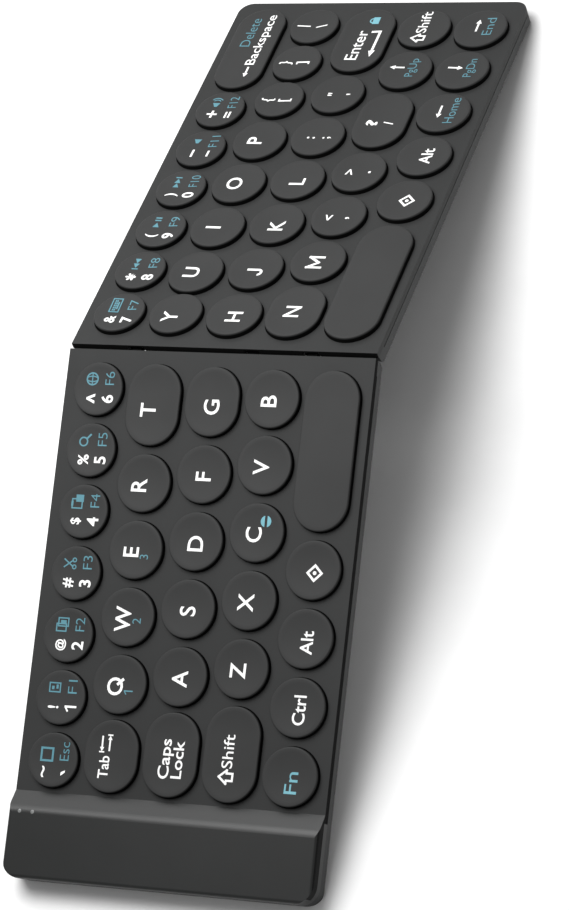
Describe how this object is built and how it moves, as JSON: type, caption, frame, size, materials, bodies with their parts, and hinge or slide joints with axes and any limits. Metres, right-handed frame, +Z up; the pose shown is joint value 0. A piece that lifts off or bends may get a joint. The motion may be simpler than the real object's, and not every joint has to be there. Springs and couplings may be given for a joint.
{
  "type": "folding keyboard",
  "caption": "Two-part folding keyboard with round keys, a raised battery strip at one end and a pair of parallel friction hinges that fold the halves back to back.",
  "frame": {"origin": "centre of the footprint, on the surface that the half-folded keyboard stands on", "axes": "+X along the keyboard towards the half without the battery strip, +Y from the space bars towards the number row, +Z up"},
  "size_m": [0.2684, 0.0874, 0.0461],
  "materials": {
    "frame_plastic": "fine matt texture, dark charcoal",
    "tray_plastic": "satin moulded plastic, dark grey",
    "strip_plastic": "fine matt texture, dark charcoal",
    "key_plastic": "matt moulded caps with printed marks",
    "cell_foil": "foil pouch",
    "board": "circuit board with solder mask",
    "port_steel": "plated steel shell",
    "light_lens": "clear lens",
    "plate_steel": "rolled steel sheet",
    "membrane_film": "printed film",
    "dome_rubber": "silicone rubber",
    "deck_plastic": "moulded plastic",
    "screw_steel": "blackened steel",
    "foot_rubber": "soft rubber",
    "bracket_steel": "black coated steel",
    "link_metal": "black coated metal",
    "flex_film": "black coverlay film"
  },
  "bodies": {
    "left_half": {"left_frame": "frame_plastic", "left_tray": "tray_plastic", "battery_cover": "strip_plastic", "battery_cell": "cell_foil", "main_board": "board", "charge_port": "port_steel", "status_lights": "light_lens", "left_backplate": "plate_steel", "left_membrane": "membrane_film", "left_domes": "dome_rubber", "left_key_deck": "deck_plastic", "left_screws": "screw_steel", "left_feet": "foot_rubber", "left_hinge_brackets": "bracket_steel", "left_hinge_pins": "screw_steel"},
    "hinge_spine": {"hinge_links": "link_metal", "flex_cable": "flex_film"},
    "right_half": {"right_frame": "frame_plastic", "right_tray": "tray_plastic", "right_backplate": "plate_steel", "right_membrane": "membrane_film", "right_domes": "dome_rubber", "right_key_deck": "deck_plastic", "right_screws": "screw_steel", "right_feet": "foot_rubber", "right_hinge_brackets": "bracket_steel", "right_hinge_pins": "screw_steel"},
    "key_q": {"key_q": "key_plastic"},
    "key_w": {"key_w": "key_plastic"},
    "key_e": {"key_e": "key_plastic"},
    "key_r": {"key_r": "key_plastic"},
    "key_t": {"key_t": "key_plastic"},
    "key_a": {"key_a": "key_plastic"},
    "key_s": {"key_s": "key_plastic"},
    "key_d": {"key_d": "key_plastic"},
    "key_f": {"key_f": "key_plastic"},
    "key_g": {"key_g": "key_plastic"},
    "key_z": {"key_z": "key_plastic"},
    "key_x": {"key_x": "key_plastic"},
    "key_c": {"key_c": "key_plastic"},
    "key_v": {"key_v": "key_plastic"},
    "key_b": {"key_b": "key_plastic"},
    "left_space_bar": {"left_space_bar": "key_plastic"},
    "left_number_keys": {"left_number_keys": "key_plastic"},
    "left_command_keys": {"left_command_keys": "key_plastic"},
    "key_y": {"key_y": "key_plastic"},
    "key_u": {"key_u": "key_plastic"},
    "key_i": {"key_i": "key_plastic"},
    "key_o": {"key_o": "key_plastic"},
    "key_p": {"key_p": "key_plastic"},
    "key_h": {"key_h": "key_plastic"},
    "key_j": {"key_j": "key_plastic"},
    "key_k": {"key_k": "key_plastic"},
    "key_l": {"key_l": "key_plastic"},
    "key_n": {"key_n": "key_plastic"},
    "key_m": {"key_m": "key_plastic"},
    "right_space_bar": {"right_space_bar": "key_plastic"},
    "right_number_keys": {"right_number_keys": "key_plastic"},
    "punctuation_keys": {"punctuation_keys": "key_plastic"},
    "right_command_keys": {"right_command_keys": "key_plastic"}
  },
  "joints": [
    {"name": "fold_left", "type": "hinge", "parent": "left_half", "child": "hinge_spine", "pos_m": [-0.00404, 0, 0.043], "axis": [0, 1, 0], "range_deg": [-17, 73]},
    {"name": "fold_right", "type": "hinge", "parent": "hinge_spine", "child": "right_half", "pos_m": [0.00466, 0, 0.043], "axis": [0, 1, 0], "range_deg": [-17, 73]},
    {"name": "key_q_press", "type": "slide", "parent": "left_half", "child": "key_q", "axis": [0.2924, 0, -0.9563], "range_m": [0, 0.0012], "stiffness_N_per_m": 400},
    {"name": "key_w_press", "type": "slide", "parent": "left_half", "child": "key_w", "axis": [0.2924, 0, -0.9563], "range_m": [0, 0.0012], "stiffness_N_per_m": 400},
    {"name": "key_e_press", "type": "slide", "parent": "left_half", "child": "key_e", "axis": [0.2924, 0, -0.9563], "range_m": [0, 0.0012], "stiffness_N_per_m": 400},
    {"name": "key_r_press", "type": "slide", "parent": "left_half", "child": "key_r", "axis": [0.2924, 0, -0.9563], "range_m": [0, 0.0012], "stiffness_N_per_m": 400},
    {"name": "key_t_press", "type": "slide", "parent": "left_half", "child": "key_t", "axis": [0.2924, 0, -0.9563], "range_m": [0, 0.0012], "stiffness_N_per_m": 400},
    {"name": "key_a_press", "type": "slide", "parent": "left_half", "child": "key_a", "axis": [0.2924, 0, -0.9563], "range_m": [0, 0.0012], "stiffness_N_per_m": 400},
    {"name": "key_s_press", "type": "slide", "parent": "left_half", "child": "key_s", "axis": [0.2924, 0, -0.9563], "range_m": [0, 0.0012], "stiffness_N_per_m": 400},
    {"name": "key_d_press", "type": "slide", "parent": "left_half", "child": "key_d", "axis": [0.2924, 0, -0.9563], "range_m": [0, 0.0012], "stiffness_N_per_m": 400},
    {"name": "key_f_press", "type": "slide", "parent": "left_half", "child": "key_f", "axis": [0.2924, 0, -0.9563], "range_m": [0, 0.0012], "stiffness_N_per_m": 400},
    {"name": "key_g_press", "type": "slide", "parent": "left_half", "child": "key_g", "axis": [0.2924, 0, -0.9563], "range_m": [0, 0.0012], "stiffness_N_per_m": 400},
    {"name": "key_z_press", "type": "slide", "parent": "left_half", "child": "key_z", "axis": [0.2924, 0, -0.9563], "range_m": [0, 0.0012], "stiffness_N_per_m": 400},
    {"name": "key_x_press", "type": "slide", "parent": "left_half", "child": "key_x", "axis": [0.2924, 0, -0.9563], "range_m": [0, 0.0012], "stiffness_N_per_m": 400},
    {"name": "key_c_press", "type": "slide", "parent": "left_half", "child": "key_c", "axis": [0.2924, 0, -0.9563], "range_m": [0, 0.0012], "stiffness_N_per_m": 400},
    {"name": "key_v_press", "type": "slide", "parent": "left_half", "child": "key_v", "axis": [0.2924, 0, -0.9563], "range_m": [0, 0.0012], "stiffness_N_per_m": 400},
    {"name": "key_b_press", "type": "slide", "parent": "left_half", "child": "key_b", "axis": [0.2924, 0, -0.9563], "range_m": [0, 0.0012], "stiffness_N_per_m": 400},
    {"name": "left_space_bar_press", "type": "slide", "parent": "left_half", "child": "left_space_bar", "axis": [0.2924, 0, -0.9563], "range_m": [0, 0.0012], "stiffness_N_per_m": 400},
    {"name": "left_number_keys_press", "type": "slide", "parent": "left_half", "child": "left_number_keys", "axis": [0.2924, 0, -0.9563], "range_m": [0, 0.0012], "stiffness_N_per_m": 400},
    {"name": "left_command_keys_press", "type": "slide", "parent": "left_half", "child": "left_command_keys", "axis": [0.2924, 0, -0.9563], "range_m": [0, 0.0012], "stiffness_N_per_m": 400},
    {"name": "key_y_press", "type": "slide", "parent": "right_half", "child": "key_y", "axis": [-0.2924, 0, -0.9563], "range_m": [0, 0.0012], "stiffness_N_per_m": 400},
    {"name": "key_u_press", "type": "slide", "parent": "right_half", "child": "key_u", "axis": [-0.2924, 0, -0.9563], "range_m": [0, 0.0012], "stiffness_N_per_m": 400},
    {"name": "key_i_press", "type": "slide", "parent": "right_half", "child": "key_i", "axis": [-0.2924, 0, -0.9563], "range_m": [0, 0.0012], "stiffness_N_per_m": 400},
    {"name": "key_o_press", "type": "slide", "parent": "right_half", "child": "key_o", "axis": [-0.2924, 0, -0.9563], "range_m": [0, 0.0012], "stiffness_N_per_m": 400},
    {"name": "key_p_press", "type": "slide", "parent": "right_half", "child": "key_p", "axis": [-0.2924, 0, -0.9563], "range_m": [0, 0.0012], "stiffness_N_per_m": 400},
    {"name": "key_h_press", "type": "slide", "parent": "right_half", "child": "key_h", "axis": [-0.2924, 0, -0.9563], "range_m": [0, 0.0012], "stiffness_N_per_m": 400},
    {"name": "key_j_press", "type": "slide", "parent": "right_half", "child": "key_j", "axis": [-0.2924, 0, -0.9563], "range_m": [0, 0.0012], "stiffness_N_per_m": 400},
    {"name": "key_k_press", "type": "slide", "parent": "right_half", "child": "key_k", "axis": [-0.2924, 0, -0.9563], "range_m": [0, 0.0012], "stiffness_N_per_m": 400},
    {"name": "key_l_press", "type": "slide", "parent": "right_half", "child": "key_l", "axis": [-0.2924, 0, -0.9563], "range_m": [0, 0.0012], "stiffness_N_per_m": 400},
    {"name": "key_n_press", "type": "slide", "parent": "right_half", "child": "key_n", "axis": [-0.2924, 0, -0.9563], "range_m": [0, 0.0012], "stiffness_N_per_m": 400},
    {"name": "key_m_press", "type": "slide", "parent": "right_half", "child": "key_m", "axis": [-0.2924, 0, -0.9563], "range_m": [0, 0.0012], "stiffness_N_per_m": 400},
    {"name": "right_space_bar_press", "type": "slide", "parent": "right_half", "child": "right_space_bar", "axis": [-0.2924, 0, -0.9563], "range_m": [0, 0.0012], "stiffness_N_per_m": 400},
    {"name": "right_number_keys_press", "type": "slide", "parent": "right_half", "child": "right_number_keys", "axis": [-0.2924, 0, -0.9563], "range_m": [0, 0.0012], "stiffness_N_per_m": 400},
    {"name": "punctuation_keys_press", "type": "slide", "parent": "right_half", "child": "punctuation_keys", "axis": [-0.2924, 0, -0.9563], "range_m": [0, 0.0012], "stiffness_N_per_m": 400},
    {"name": "right_command_keys_press", "type": "slide", "parent": "right_half", "child": "right_command_keys", "axis": [-0.2924, 0, -0.9563], "range_m": [0, 0.0012], "stiffness_N_per_m": 400}
  ]
}
